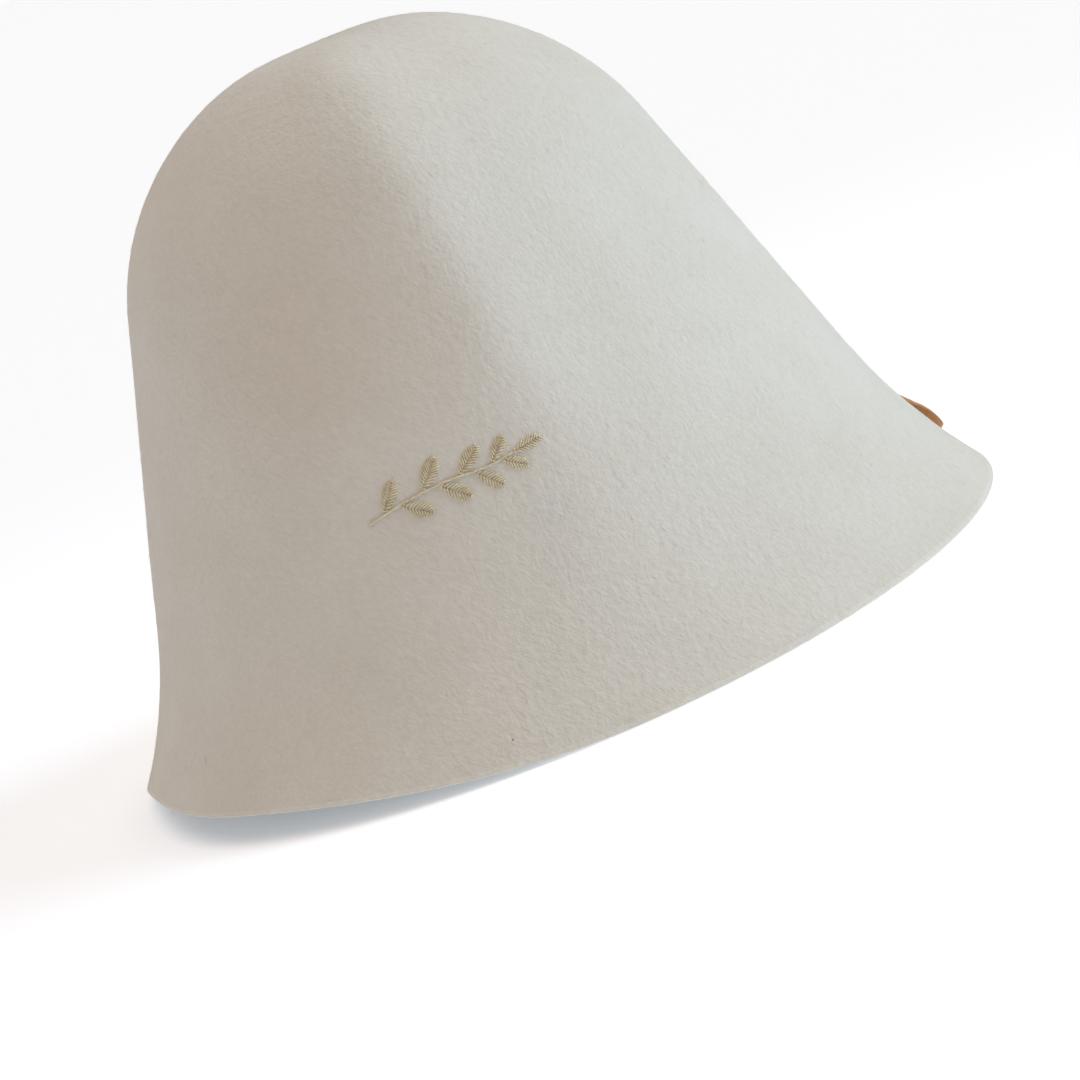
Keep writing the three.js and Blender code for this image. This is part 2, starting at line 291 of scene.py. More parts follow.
# %% Turn the section
BELL = {
    "Columns": 340,
    "Fold Height": 9 * MM, "Fold Reach": 21 * MM, "Fold Crest": 10.5 * MM, "Fold Sink": 3.6 * MM,
    "Front Lift": 8.3 * MM, "Side Lift": 2.6 * MM, "Front Draw": 0.0, "Side Draw": 5.2 * MM,
    "Crown Lean": 1.2 * MM, "Relief": 0.16 * MM, "Seed": 4.0, "Felt": felt,
}
tree, sizes, result = start_tree("felt bell", BELL)
section_curve = add(tree, "GeometryNodeMeshToCurve", {"Mesh": sizes["Geometry"]})
circle = add(tree, "GeometryNodeCurvePrimitiveCircle", {"Resolution": sizes["Columns"]}).outputs["Curve"]
share = add(tree, "GeometryNodeSplineParameter").outputs["Factor"]
turned = add(tree, MATH, [share, 2 * math.pi], operation="MULTIPLY")
circle = add(tree, "GeometryNodeStoreNamedAttribute",
             {"Geometry": circle, "Name": "azimuth", "Value": turned})
bell = add(tree, "GeometryNodeCurveToMesh", {"Curve": circle, "Profile Curve": section_curve})
azimuth, radius, height, lean, down = (
    add(tree, "GeometryNodeInputNamedAttribute", {"Name": name}).outputs["Attribute"]
    for name in ("azimuth", "from_axis", "height", "lean", "down"))
print("bell: section turned about the axis")

# %% Across the soft fold
# The crest wanders to the right on its way down. From it the felt falls off to both sides, and the front
# around it is sunk a little, as it is where felt was pushed in.
CREST_AT_TOP, CREST_AT_RIM, SUNK_SIDES = math.radians(1), math.radians(15), math.radians(80)
crest = add(tree, MAP_RANGE,
            {"Value": down, "From Max": length, "To Min": CREST_AT_TOP, "To Max": CREST_AT_RIM})
turn = add(tree, MATH, [azimuth, crest], operation="SUBTRACT")
turn = add(tree, MATH, [turn, math.pi, -math.pi], operation="WRAP")
aside = add(tree, MATH, [turn, radius], operation="MULTIPLY")
across = add(tree, "ShaderNodeCombineXYZ", [aside, sizes["Fold Crest"]])
across = add(tree, "ShaderNodeVectorMath", [across], operation="LENGTH").outputs["Value"]
across = add(tree, MATH, [sizes["Fold Crest"], across], operation="SUBTRACT")
across = add(tree, MATH, [across, sizes["Fold Reach"]], operation="DIVIDE")
across = add(tree, MATH, [across], operation="EXPONENT")
raised = add(tree, MATH, [across, sizes["Fold Height"]], operation="MULTIPLY")
turn = add(tree, MATH, [turn], operation="ABSOLUTE")
beside = add(tree, MAP_RANGE, {"Value": turn, "From Max": SUNK_SIDES, **FALLING},
             interpolation_type="SMOOTHSTEP")
sunk = add(tree, MATH, [beside, sizes["Fold Sink"]], operation="MULTIPLY")
fold = add(tree, MATH, [raised, sunk], operation="SUBTRACT")
print("bell: across the fold", len(tree.nodes), "nodes so far")

# %% Down the soft fold
# Distances down the face from the middle of the crown: the fold begins, is full, wanes and is gone
FOLD_BEGINS, FOLD_FULL, FOLD_WANES, FOLD_GONE = 3 * MM, 52 * MM, 90 * MM, 240 * MM
begins = add(tree, MAP_RANGE, {"Value": down, "From Min": FOLD_BEGINS, "From Max": FOLD_FULL},
             interpolation_type="SMOOTHSTEP")
ends = add(tree, MAP_RANGE, {"Value": down, "From Min": FOLD_WANES, "From Max": FOLD_GONE, **FALLING},
           interpolation_type="SMOOTHSTEP")
fold = add(tree, MATH, [fold, begins], operation="MULTIPLY")
fold = add(tree, MATH, [fold, ends], operation="MULTIPLY")
cosine = add(tree, MATH, [lean], operation="COSINE")
fold_out = add(tree, MATH, [cosine, fold], operation="MULTIPLY")
sine = add(tree, MATH, [lean], operation="SINE")
fold_up = add(tree, MATH, [sine, fold], operation="MULTIPLY")
print("bell: down the fold", len(tree.nodes), "nodes so far")

# %% The lifted brim
BRIM_REACH, BRIM_CURVE = 80 * MM, 2.0
# Each wave of the brim: its name, the azimuth of its middle and its spread to either side, in degrees
BRIM_WAVES = (("Front", -52.6, 57.5), ("Side", -79.5, 30.3))
near_rim = add(tree, MAP_RANGE, {"Value": height, "From Max": BRIM_REACH, **FALLING})
near_rim = add(tree, MATH, [near_rim, BRIM_CURVE], operation="POWER")
waves = {"Lift": 0.0, "Draw": 0.0}
for name, middle, spread in BRIM_WAVES:
    off = add(tree, MATH, [azimuth, -math.radians(middle)], operation="ADD")
    off = add(tree, MATH, [off, math.pi, -math.pi], operation="WRAP")
    off = add(tree, MATH, [off], operation="ABSOLUTE")
    hump = add(tree, MAP_RANGE, {"Value": off, "From Max": math.radians(spread), **FALLING},
               interpolation_type="SMOOTHSTEP")
    hump = add(tree, MATH, [hump, near_rim], operation="MULTIPLY")
    for way, so_far in waves.items():
        size = sizes[f"{name} {way}"]
        waves[way] = add(tree, MATH, [hump, size, so_far], operation="MULTIPLY_ADD")
print("bell: brim", len(tree.nodes), "nodes so far")

# %% The leaning crown and the place of every point
ON_AXIS, WELD, LEAN_CURVE = 1e-6, 0.002 * MM, 2.0
away = add(tree, MATH, [radius, fold_out], operation="ADD")
away = add(tree, MATH, [away, waves["Draw"]], operation="SUBTRACT")
off_axis = add(tree, MATH, [radius, ON_AXIS], operation="GREATER_THAN")
away = add(tree, MATH, [away, off_axis], operation="MULTIPLY")
above = add(tree, MATH, [height, fold_up], operation="ADD")
above = add(tree, MATH, [above, waves["Lift"]], operation="ADD")
tilt = add(tree, MATH, [above, HEIGHT], operation="DIVIDE")
tilt = add(tree, MATH, [tilt, LEAN_CURVE], operation="POWER")
tilt = add(tree, MATH, [tilt, sizes["Crown Lean"]], operation="MULTIPLY")
sine = add(tree, MATH, [azimuth], operation="SINE")
x = add(tree, MATH, [sine, away], operation="MULTIPLY")
x = add(tree, MATH, [x, tilt], operation="SUBTRACT")
cosine = add(tree, MATH, [azimuth], operation="COSINE")
y = add(tree, MATH, [cosine, away], operation="MULTIPLY")
y = add(tree, MATH, [y, -1.0], operation="MULTIPLY")
place = add(tree, "ShaderNodeCombineXYZ", [x, y, above])
bell = add(tree, "GeometryNodeSetPosition", {"Geometry": bell, "Position": place})
bell = add(tree, "GeometryNodeMergeByDistance", {"Geometry": bell, "Distance": WELD})
print("bell: shape rule", len(tree.nodes), "nodes")

# %% The hand of the felt
# No felt is quite even. The rim stays as it is, because the hat stands on it.
UNEVEN_SIZE, RIM_STILL, RIM_FREE = 16 * MM, 0.5 * MM, 5 * MM
uneven = add(tree, "ShaderNodeTexNoise", {"Scale": 1 / UNEVEN_SIZE, "Detail": 2.0, "W": sizes["Seed"]},
             noise_dimensions="4D")
uneven = add(tree, MATH, [uneven, 0.5], operation="SUBTRACT")
uneven = add(tree, MATH, [uneven, sizes["Relief"]], operation="MULTIPLY")
off_rim = add(tree, MAP_RANGE, {"Value": height, "From Min": RIM_STILL, "From Max": RIM_FREE},
              interpolation_type="SMOOTHSTEP")
uneven = add(tree, MATH, [uneven, off_rim], operation="MULTIPLY")
uneven = add(tree, MATH, [uneven, 2.0], operation="MULTIPLY")
normal = add(tree, "GeometryNodeInputNormal")
shift = add(tree, "ShaderNodeVectorMath", {0: normal, "Scale": uneven}, operation="SCALE")
bell = add(tree, "GeometryNodeSetPosition", {"Geometry": bell, "Offset": shift})
bell = add(tree, "GeometryNodeSetShadeSmooth", {"Geometry": bell})
bell = add(tree, "GeometryNodeRealizeInstances", {"Geometry": bell})
bell = add(tree, "GeometryNodeSetMaterial", {"Geometry": bell, "Material": sizes["Felt"]})
tree.links.new(bell.outputs[0], result.inputs[0])
print("bell: whole tree", len(tree.nodes), "nodes")

# %% Make the bell
radii, heights, leans, distances = (list(column) for column in zip(*section))
edges = [(i, i + 1) for i in range(len(section) - 1)]
mesh = point_mesh("bell section", [(r, z, 0) for r, z in zip(radii, heights)], edges, skin=skin,
                  from_axis=radii, height=heights, lean=leans, down=distances)
felt_bell = make_piece("felt_bell_blocked", mesh, tree, BELL)
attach(felt_bell, "root")
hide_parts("felt_bell")
print(f"bell: {len(felt_bell.data.polygons)} faces, {[round(d / MM, 1) for d in felt_bell.dimensions]} mm")

# %% [markdown]
# ## The slit
# Low on the right side the felt has a short slit, and the lace comes out through it from the inside. On the
# real hat it is one cut with a knife. A Boolean cuts it here with a thin box that is laid slantwise through
# the felt, the way the lace runs, and the edges of the cut are kept crisp.

# %% Where the lace runs
LOOP_AZIMUTH, SLIT_HEIGHT = math.radians(107), 29 * MM
LACE_WIDTH, LACE_THICKNESS = 4.6 * MM, 1.0 * MM
# One leg of the loop from its tail to the loop's bottom, in mm and degrees: the distance down the felt from
# the slit, to the side and off the felt's outer face, and the lace's turn
LegRow = namedtuple("LegRow", "down side off turn")
LEG = [LegRow(*row) for row in (
    (-17, 2.7, -4.1, 0), (-11.5, 2.7, -4.1, 0), (-6.6, 2.7, -4.15, 0), (-2.2, 2.7, -2.42, 0),
    (2.2, 2.7, -0.58, 0), (6.6, 2.7, 1.4, 0), (10.5, 2.7, 2.9, 0), (14.5, 2.8, 3.95, 0),
    (18.1, 3.2, 4.2, 10), (21.3, 4, 4, 38), (24.4, 4.6, 3.55, 68), (27.2, 4.6, 3.15, 86),
    (29.8, 3.2, 2.82, 90), (31, 0, 2.75, 90))]


def beside_felt(down, side, off):
    """A point beside the felt at the slit: so far down its outer face, to the side and off the face."""
    wanted = math.asin(math.sin(RIM_LEAN) - SLIT_HEIGHT / FLARE_RADIUS) + down / FLARE_RADIUS
    lean = max(wanted, WALL_LEAN)
    up_wall = (lean - wanted) * FLARE_RADIUS
    r = flare_centre[0] - FLARE_RADIUS * math.cos(lean) - up_wall * math.sin(lean) + off * math.cos(lean)
    z = flare_centre[1] - FLARE_RADIUS * math.sin(lean) + up_wall * math.cos(lean) + off * math.sin(lean)
    sine, cosine = math.sin(LOOP_AZIMUTH), math.cos(LOOP_AZIMUTH)
    return Vector((r * sine + side * cosine, -r * cosine + side * sine, z))


last_inside = [row for row in LEG if row.down < 0][-1]
first_outside = [row for row in LEG if row.down > 0][0]
inside = beside_felt(last_inside.down * MM, 0, last_inside.off * MM)
outside = beside_felt(first_outside.down * MM, 0, first_outside.off * MM)
middle = (inside + outside) / 2
print("slit:", [round(c / MM, 1) for c in middle], "mm")

# %% Cut the slit
SLIT_CLEARANCE, SLIT_LENGTH, CRISP = 0.25 * MM, 16 * MM, math.radians(50)
BOX_FACES = [(0, 2, 3, 1), (4, 5, 7, 6), (0, 1, 5, 4), (2, 6, 7, 3), (0, 4, 6, 2), (1, 3, 7, 5)]
through = (outside - inside).normalized()
aside = (beside_felt(0, MM, 0) - beside_felt(0, 0, 0)).normalized()
axes = (aside, through.cross(aside), through)
halves = (last_inside.side * MM + LACE_WIDTH / 2 + SLIT_CLEARANCE, LACE_THICKNESS / 2 + SLIT_CLEARANCE,
          SLIT_LENGTH / 2)
corners = []
for n in range(8):
    ends = (axes[k] * halves[k] * (1 if n >> k & 1 else -1) for k in range(3))
    corners.append(middle + sum(ends, Vector()))
knife_mesh = bpy.data.meshes.new("knife")
knife_mesh.from_pydata(corners, [], BOX_FACES)
knife = bpy.data.objects.new("knife", knife_mesh)
bpy.context.collection.objects.link(knife)
cut = felt_bell.modifiers.new("slit", "BOOLEAN")
cut.operation, cut.solver, cut.object = "DIFFERENCE", "EXACT", knife
faces_before = len(felt_bell.data.polygons)
evaluated = felt_bell.evaluated_get(bpy.context.evaluated_depsgraph_get())
felt_bell.data = bpy.data.meshes.new_from_object(evaluated)
felt_bell.modifiers.remove(cut)
bpy.data.objects.remove(knife)
felt_bell.data.name = "felt_bell_blocked"
felt_bell.data.set_sharp_from_angle(angle=CRISP)
print("slit: faces", faces_before, "to", len(felt_bell.data.polygons))

# %% [markdown]
# ## The leather lace
# A flat lace of tanned leather is doubled into a loop. Its tails lie inside the hat, both legs come out of
# the slit and bow a little off the brim, and the bottom of the loop stands on its edge, as bent leather does.
# A curve with a bevel would do, but it can't tell the cut edges from the faces. So the path is a smooth curve
# through a short table of places, and Geometry Nodes carries a rounded strip along it that knows its edges.

# %% Leather material
# Vegetable-tanned lace cut from a smooth hide: a tan face with fine pores and a low gloss, and a raw cut edge
# that is paler and dull. Pores are 0.1 mm on the real hide and drawn at 0.35 mm, so that they show.
PORE, PORE_DEPTH, LEATHER_CLOUD = 0.35 * MM, 0.05 * MM, 6 * MM
# Between these shares of the half width the raw edge begins, and of the noise the tan goes from dark to light
RAW_FROM, RAW_TO, DARK_TAN, LIGHT_TAN = 0.9, 0.99, 0.3, 0.72
leather, tree, shader, place = start_material("vegetable-tanned leather lace")
across = add(tree, "ShaderNodeAttribute", attribute_name="across").outputs["Fac"]
cloud = add(tree, "ShaderNodeTexNoise", {"Vector": place, "Scale": 1 / LEATHER_CLOUD, "Detail": 4.0})
pores = add(tree, "ShaderNodeTexVoronoi", {"Vector": place, "Scale": 1 / PORE, "Randomness": 1.0})
pores = pores.outputs["Distance"]
tan = add(tree, "ShaderNodeValToRGB", {"Fac": cloud})
set_ramp(tan, (DARK_TAN, LIGHT_TAN), ("#A5693C", "#C08753"))
edge = add(tree, MATH, [across], operation="ABSOLUTE")
edge = add(tree, MAP_RANGE, {"Value": edge, "From Min": RAW_FROM, "From Max": RAW_TO},
           interpolation_type="SMOOTHSTEP")
face = add(tree, "ShaderNodeMix", {FACTOR: edge, FIRST: tan, SECOND: linear("#C99A6C")}, data_type="RGBA")
tree.links.new(face.outputs[MIXED], shader.inputs["Base Color"])
grain = add(tree, "ShaderNodeBump", {"Height": pores, "Strength": 0.6, "Distance": PORE_DEPTH})
tree.links.new(grain.outputs[0], shader.inputs["Normal"])
rough = add(tree, MAP_RANGE, {"Value": edge, "To Min": 0.48, "To Max": 0.85})
tree.links.new(rough.outputs[0], shader.inputs["Roughness"])
print("material:", leather.name)

# %% A smooth curve
def smooth_through(knots, share):
    """A point on a smooth curve that passes through all the knots, at a share of their number."""
    knots = [2 * knots[0] - knots[1]] + knots + [2 * knots[-1] - knots[-2]]
    place = share * (len(knots) - 3)
    first = min(int(place), len(knots) - 4)
    a, b, c, d = knots[first:first + 4]
    before, between, after = ((q - p).length ** 0.5 for p, q in ((a, b), (b, c), (c, d)))
    leave = between * ((b - a) / before - (c - a) / (before + between) + (c - b) / between)
    arrive = between * ((c - b) / between - (d - b) / (between + after) + (d - c) / after)
    t = place - first
    bend = 3 * (c - b) - 2 * leave - arrive
    return b + t * leave + t * t * bend + t ** 3 * (2 * (b - c) + leave + arrive)


# %% The path of the lace
LACE_STEPS, NUDGE = 200, 1e-3
rows = LEG + [row._replace(side=-row.side) for row in reversed(LEG[:-1])]
knots = [beside_felt(row.down * MM, row.side * MM, row.off * MM) for row in rows]
halfway = LEG[-1].down / 2 * MM
outward = beside_felt(halfway, 0, MM) - beside_felt(halfway, 0, 0)
path, widths = [], []
for i in range(LACE_STEPS + 1):
    share = i / LACE_STEPS
    path.append(smooth_through(knots, share))
    along = smooth_through(knots, min(share + NUDGE, 1)) - smooth_through(knots, max(share - NUDGE, 0))
    place = share * (len(rows) - 1)
    first = min(int(place), len(rows) - 2)
    turn = math.radians(rows[first].turn + (rows[first + 1].turn - rows[first].turn) * (place - first))
    level = along.cross(outward).normalized()
    upright = level.cross(along).normalized()
    widths.append(math.cos(turn) * level - math.sin(turn) * upright)
lace_length = sum((q - p).length for p, q in zip(path, path[1:]))
print(f"lace: {lace_length / MM:.1f} mm from tail to tail")

# %% The lace
LACE = {"Width": LACE_WIDTH, "Thickness": LACE_THICKNESS, "Rounding": 0.28 * MM, "Leather": leather}
LACE_CRISP = math.radians(60)
tree, sizes, result = start_tree("leather lace", LACE)
run = add(tree, "GeometryNodeMeshToCurve", {"Mesh": sizes["Geometry"]})
wide = add(tree, "GeometryNodeInputNamedAttribute", {"Name": "wide"}, data_type="FLOAT_VECTOR")
run = add(tree, "GeometryNodeSetCurveNormal", {"Curve": run, "Normal": wide}, mode="FREE")
strip = add(tree, "GeometryNodeCurvePrimitiveQuadrilateral",
            {"Width": sizes["Width"], "Height": sizes["Thickness"]})
strip = add(tree, "GeometryNodeFilletCurve", {"Curve": strip, "Count": 4, "Radius": sizes["Rounding"]},
            mode="POLY")
strip = add(tree, "GeometryNodeSubdivideCurve", {"Curve": strip, "Cuts": 1})
aside = add(tree, "ShaderNodeSeparateXYZ", [add(tree, "GeometryNodeInputPosition")]).outputs["X"]
aside = add(tree, MATH, [aside, sizes["Width"]], operation="DIVIDE")
aside = add(tree, MATH, [aside, 2.0], operation="MULTIPLY")
strip = add(tree, "GeometryNodeStoreNamedAttribute", {"Geometry": strip, "Name": "across", "Value": aside})
lace = add(tree, "GeometryNodeCurveToMesh", {"Curve": run, "Profile Curve": strip, "Fill Caps": True})
lace = add(tree, "GeometryNodeSetShadeSmooth", {"Geometry": lace})
lace = add(tree, "GeometryNodeRealizeInstances", {"Geometry": lace})
lace = add(tree, "GeometryNodeSetMaterial", {"Geometry": lace, "Material": sizes["Leather"]})
tree.links.new(lace.outputs[0], result.inputs[0])
mesh = point_mesh("lace path", path, [(i, i + 1) for i in range(LACE_STEPS)], wide=widths)
hang_loop = make_piece("hang_loop_lace", mesh, tree, LACE)
hang_loop.data.set_sharp_from_angle(angle=LACE_CRISP)
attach(hang_loop, "root")
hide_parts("hang_loop")
print("lace:", len(hang_loop.data.polygons), "faces")

# %% [markdown]
# ## Stitches
# A stitch is a short length of thread that comes up out of the felt, lies flat, and goes down again. Every
# stitch on the hat has that shape, so one tree makes them all: it puts a short curve on each given point,
# turned to the stitch's direction and stretched to its length, and only then gives the curves the thickness
# of the thread, so that a long stitch isn't thicker than a short one.

# %% Embroidery thread
# Two-ply rayon thread: smooth, silky and beige, with a soft gloss along each stitch
STRAND = 1.2 * MM
thread, tree, shader, place = start_material("rayon embroidery thread, beige")
strand = add(tree, "ShaderNodeTexNoise", {"Vector": place, "Scale": 1 / STRAND, "Detail": 3.0})
dye = add(tree, "ShaderNodeValToRGB", {"Fac": strand})
set_ramp(dye, (NOISE_LOW, NOISE_HIGH), ("#D6C49E", "#F0E5CA"))
tree.links.new(dye.outputs[0], shader.inputs["Base Color"])
shader.inputs["Roughness"].default_value = 0.32
print("material:", thread.name)

# %% The curve of one stitch
# The thread lies at its arch height, and towards both ends it dives ever more steeply into the felt
SPRIG_STITCH = {"Thread": 0.52 * MM, "Arch": 0.42 * MM, "Dive": 0.7 * MM, "Thread Material": thread}
STITCH_POINTS, DIVE_CURVE = 9, 4.0
stitch_tree, sizes, result = start_tree("stitches", SPRIG_STITCH)
tree = stitch_tree
line = add(tree, "GeometryNodeCurvePrimitiveLine", {"Start": (-0.5, 0, 0), "End": (0.5, 0, 0)})
line = add(tree, "GeometryNodeResampleCurve", {"Curve": line, "Count": STITCH_POINTS})
bow = add(tree, "ShaderNodeSeparateXYZ", [add(tree, "GeometryNodeInputPosition")]).outputs["X"]
bow = add(tree, MATH, [bow, 2.0], operation="MULTIPLY")
bow = add(tree, MATH, [bow], operation="ABSOLUTE")
bow = add(tree, MATH, [bow, DIVE_CURVE], operation="POWER")
fall = add(tree, MATH, [sizes["Arch"], sizes["Dive"]], operation="ADD")
bow = add(tree, MATH, [bow, fall], operation="MULTIPLY")
bow = add(tree, MATH, [sizes["Arch"], bow], operation="SUBTRACT")
bow = add(tree, "ShaderNodeCombineXYZ", {"Z": bow})
line = add(tree, "GeometryNodeSetPosition", {"Geometry": line, "Offset": bow})
print("stitch tree:", len(tree.nodes), "nodes so far")

# %% The stitch tree
THREAD_SIDES = 5
spots = add(tree, "GeometryNodeMeshToPoints", {"Mesh": sizes["Geometry"]})
outwards, heading, span = (
    add(tree, "GeometryNodeInputNamedAttribute", {"Name": name}, data_type=kind)
    for name, kind in (("outwards", "FLOAT_VECTOR"), ("heading", "FLOAT_VECTOR"), ("span", "FLOAT")))
facing = add(tree, "FunctionNodeAxesToRotation", [outwards, heading], primary_axis="Z", secondary_axis="X")
scale = add(tree, "ShaderNodeCombineXYZ", [span, 1.0, 1.0])
stitches = add(tree, "GeometryNodeInstanceOnPoints",
               {"Points": spots, "Instance": line, "Rotation": facing, "Scale": scale})
stitches = add(tree, "GeometryNodeRealizeInstances", {"Geometry": stitches})
radius = add(tree, MATH, [sizes["Thread"], 0.5], operation="MULTIPLY")
ring = add(tree, "GeometryNodeCurvePrimitiveCircle", {"Resolution": THREAD_SIDES, "Radius": radius})
stitches = add(tree, "GeometryNodeCurveToMesh", {"Curve": stitches, "Profile Curve": ring, "Fill Caps": True})
stitches = add(tree, "GeometryNodeSetShadeSmooth", {"Geometry": stitches})
stitches = add(tree, "GeometryNodeSetMaterial", {"Geometry": stitches, "Material": sizes["Thread Material"]})
tree.links.new(stitches.outputs[0], result.inputs[0])
print("stitch tree:", len(tree.nodes), "nodes")

# %% [markdown]
# ## The embroidered sprig
# On the front is a small sprig of leaves in embroidery thread. An embroiderer lays each half of a leaf as
# slanted stitches that run from the middle vein out to the edge, so that the two halves catch the light
# differently. Python lays the sprig out flat in millimetres, a ray finds the felt under each stitch's ends,
# and the stitch tree does the sewing.

# %% Lay out the leaves
STEM = [(-24.5, -3.4), (-12, -0.6), (0, 0.7), (11, 0.3), (19, 1.4)]
# Leaves: share along the stem, which side, length and half width in mm
LEAVES = [(0.10, 1, 9.2, 2.1), (0.20, -1, 9.4, 2.1), (0.34, 1, 9.8, 2.2), (0.44, -1, 9.4, 2.15),
          (0.57, 1, 9.0, 2.1), (0.67, -1, 8.4, 1.95), (0.79, 1, 7.6, 1.8), (0.88, -1, 7.0, 1.65),
          (0.995, 0, 8.0, 1.75)]
LEAF_ANGLE, STITCH_SLANT, STITCH_STEP = math.radians(42), math.radians(48), 0.82
STALK, LEAF_BELLY, LEAF_FULLNESS, AHEAD = 0.5, 0.85, 0.8, 0.02
UNEVEN_HAND, HAND_SEED = 0.3, 3

stem_knots = [Vector((u, v, 0)) for u, v in STEM]
flat_stitches, hand = [], random.Random(HAND_SEED)
for share, side, leaf_length, half_width in LEAVES:
    base, further = smooth_through(stem_knots, share), min(share + AHEAD, 1)
    ahead = smooth_through(stem_knots, further) - smooth_through(stem_knots, further - AHEAD)
    course = math.atan2(ahead.y, ahead.x) + side * LEAF_ANGLE
    vein = Vector((math.cos(course), math.sin(course), 0))
    base = base + vein * STALK * abs(side)
    count = round(leaf_length / STITCH_STEP)
    for i in range(count):
        t = (i + 0.5) / count
        start = base + vein * leaf_length * t
        edge = half_width * math.sin(math.pi * t ** LEAF_BELLY) ** LEAF_FULLNESS
        for slant in (course + STITCH_SLANT, course - STITCH_SLANT):
            reach = edge / math.sin(STITCH_SLANT) + hand.uniform(0.0, UNEVEN_HAND)
            flat_stitches.append((start, start + Vector((math.cos(slant), math.sin(slant), 0)) * reach))
print("sprig:", len(LEAVES), "leaves of", len(flat_stitches), "stitches")

# %% Lay out the stem
# The stem's stitches overlap, each one begins on one side of the stem's line and ends on the other
STEM_STITCHES, STITCH_FROM, STITCH_TO, STEM_SLANT = 26, -0.45, 1.25, 0.13
for i in range(STEM_STITCHES):
    here, there = (smooth_through(stem_knots, min(max((i + part) / STEM_STITCHES, 0), 1))
                   for part in (STITCH_FROM, STITCH_TO))
    sideways = Vector((here.y - there.y, there.x - here.x, 0)).normalized() * STEM_SLANT
    flat_stitches.append((here - sideways, there + sideways))
print("sprig:", len(flat_stitches), "stitches")

# %% Find places on the felt
SPRIG_AZIMUTH, SPRIG_HEIGHT = math.radians(-7.2), 72 * MM
CLEAR_OF_HAT = 400 * MM
felt_surface = BVHTree.FromObject(felt_bell, bpy.context.evaluated_depsgraph_get())


def on_felt(azimuth, height):
    """The place and the outward direction of the felt's outer face at an azimuth and a height."""
    inwards = Vector((-math.sin(azimuth), math.cos(azimuth), 0))
    place, outwards, _, _ = felt_surface.ray_cast(Vector((0, 0, height)) - inwards * CLEAR_OF_HAT, inwards)
    return place, outwards


def sewn(flat_point):
    """Where a flat point of the sprig, in mm, comes to lie on the felt."""
    height = SPRIG_HEIGHT + flat_point.y * MM * math.cos(WALL_LEAN)
    middle, _ = on_felt(SPRIG_AZIMUTH, height)
    return on_felt(SPRIG_AZIMUTH + flat_point.x * MM / math.hypot(middle.x, middle.y), height)


# %% Sew the sprig on
spots, headings, outwards, spans = [], [], [], []
for start, end in flat_stitches:
    (p, n), (q, m) = sewn(start), sewn(end)
    spots.append((p + q) / 2)
    headings.append((q - p).normalized())
    outwards.append((n + m).normalized())
    spans.append((q - p).length)
mesh = point_mesh("sprig stitches", spots, heading=headings, outwards=outwards, span=spans)
sprig = make_piece("embroidered_sprig", mesh, stitch_tree, SPRIG_STITCH)
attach(sprig, "root")
print("sprig:", len(sprig.data.polygons), "faces")

# %% [markdown]
# ## A fleck, a soft mark and a patch of painted shade
# Wool is never quite clean or even: there is a dark speck of chaff near the rim and a faint bluish rub under
# the fold. On the fold's left side a wide patch is painted warmer and darker, a painted shade where the fold
# turns away from the light. They could be painted on a picture of the felt, but the felt has none. Each is a
# soft round spot in its colour instead, and a ray finds its middle on the felt.

# %% Mark the felt
# Azimuth in degrees and height in mm on the felt, where the mark begins to fade and where it ends, in mm from
# its middle, and the colour that the felt is multiplied by
# The first two rows are a fleck of chaff and a bluish rub; the last row is painted shade, warm and darker, on
# the fold's left side
MARKS_AND_PAINTED_SHADE = [(-10, 8.0, 0.2, 0.5, (0.5, 0.47, 0.45, 1)), (5, 56, 1.0, 9.0, (0.965, 0.98, 1.0, 1)),
         (-21, 120, 8.0, 52.0, (0.97, 0.93, 0.905, 1))]
tree = felt.node_tree
place = add(tree, "ShaderNodeTexCoord").outputs["Object"]
for around, height, fade, end, tint in MARKS_AND_PAINTED_SHADE:
    spot, _ = on_felt(math.radians(around), height * MM)
    mark = add(tree, "ShaderNodeVectorMath", [place, spot], operation="DISTANCE").outputs["Value"]
    mark = add(tree, MAP_RANGE, {"Value": mark, "From Min": fade * MM, "From Max": end * MM, **FALLING},
               interpolation_type="SMOOTHSTEP")
    felt_colour = add(tree, "ShaderNodeMix", {FACTOR: mark, FIRST: felt_colour, SECOND: tint},
                      data_type="RGBA", blend_type="MULTIPLY").outputs[MIXED]
tree.links.new(felt_colour, tree.nodes["Principled BSDF"].inputs["Base Color"])
print("marks:", len(MARKS_AND_PAINTED_SHADE))

# %% [markdown]
# ## The thread that holds the lace
# Inside the hat the two tails of the lace are sewn to the felt with a few stitches across each of them. They
# don't come through to the outside. They could be left out, since few will look there, but then nothing
# would hold the lace, and the stitch tree already makes them.

# %% Sewing thread
# Waxed linen thread: off-white, dull and firm
SLUB = 0.8 * MM
linen, tree, shader, place = start_material("waxed linen sewing thread")
slub = add(tree, "ShaderNodeTexNoise", {"Vector": place, "Scale": 1 / SLUB, "Detail": 3.0})
flax = add(tree, "ShaderNodeValToRGB", {"Fac": slub})
set_ramp(flax, (0.0, 1.0), ("#C9BFAA", "#E6DFD0"))
tree.links.new(flax.outputs[0], shader.inputs["Base Color"])
shader.inputs["Roughness"].default_value = 0.6
print("material:", linen.name)

# %% Sew the tails down
TAIL_STITCH = {"Thread": 0.55 * MM, "Arch": 1.85 * MM, "Dive": 1.0 * MM, "Thread Material": linen}
